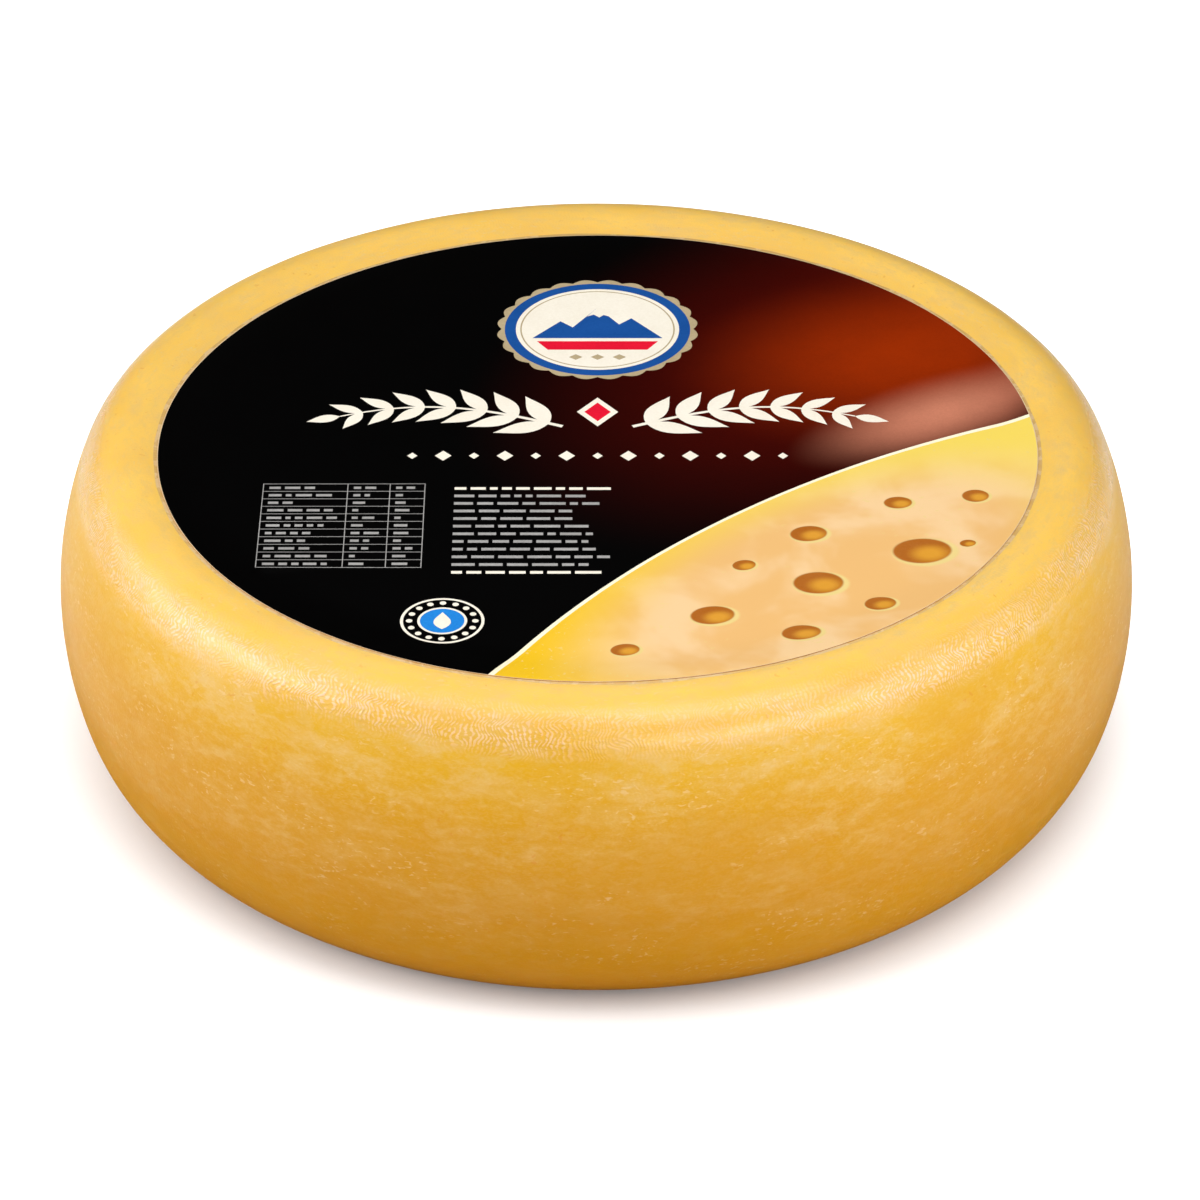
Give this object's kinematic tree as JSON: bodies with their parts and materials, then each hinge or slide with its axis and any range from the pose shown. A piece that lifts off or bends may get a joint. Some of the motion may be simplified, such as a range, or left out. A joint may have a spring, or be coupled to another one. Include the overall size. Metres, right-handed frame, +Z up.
{
  "type": "cheese wheel",
  "caption": "Whole uncut wheel of hard cheese: a low round drum with a bulging side, rounded edges and a flat foot, and a round printed label on its top face.",
  "frame": {"origin": "centre of the flat underside, on the surface that the wheel stands on", "axes": "+Z up out of the labelled top face; -Y towards the side that the label is read from, +X to that reader's right"},
  "size_m": [0.34, 0.34, 0.1094],
  "materials": {
    "rind": "golden yellow cheese rind under a thin clear coating, softly mottled, semi-gloss",
    "label": null
  },
  "bodies": {
    "root": {"cheese_wheel": "rind", "label": "label"}
  },
  "joints": []
}
